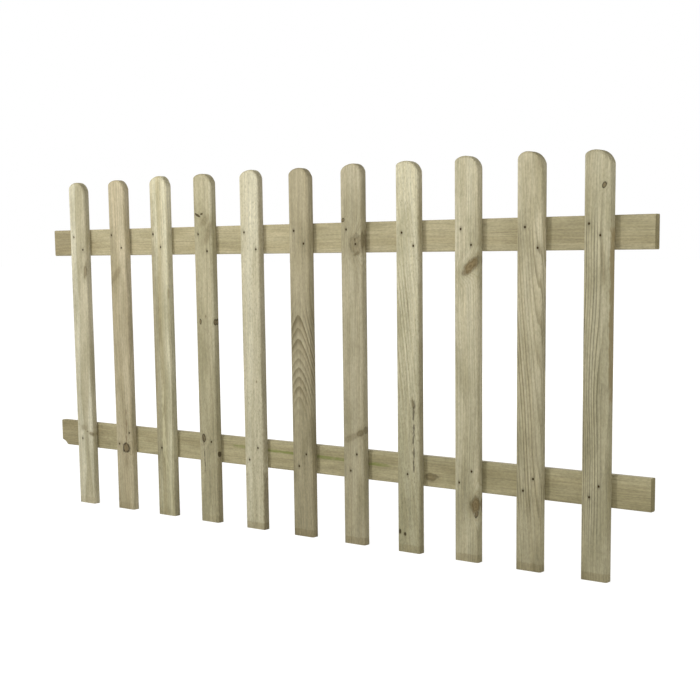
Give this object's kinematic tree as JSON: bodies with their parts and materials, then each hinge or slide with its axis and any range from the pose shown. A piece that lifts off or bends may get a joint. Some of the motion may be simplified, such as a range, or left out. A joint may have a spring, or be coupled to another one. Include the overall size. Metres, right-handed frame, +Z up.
{
  "type": "picket fence panel",
  "caption": "Open picket fence panel: round-topped softwood pickets nailed across the front of two flat horizontal rails whose bare ends reach past the outer pickets to fasten to posts.",
  "frame": {"origin": "middle of the bottom rail's back face, halfway along the panel and halfway up that rail; the back faces of both rails lie in the plane Y = 0, against the posts", "axes": "+X along the rails, to the right as seen from the front; +Y out of the back, towards the posts; +Z up; the pickets' front faces look along -Y"},
  "size_m": [1.83, 0.04, 0.9],
  "materials": {
    "picket_softwood": "planed, pressure-treated, unpainted, matt",
    "rail_softwood": "planed, pressure-treated, unpainted, matt"
  },
  "bodies": {
    "root": {"bottom_rail": "rail_softwood", "top_rail": "rail_softwood", "picket_01": "picket_softwood", "picket_02": "picket_softwood", "picket_03": "picket_softwood", "picket_04": "picket_softwood", "picket_05": "picket_softwood", "picket_06": "picket_softwood", "picket_07": "picket_softwood", "picket_08": "picket_softwood", "picket_09": "picket_softwood", "picket_10": "picket_softwood", "picket_11": "picket_softwood"}
  },
  "joints": []
}
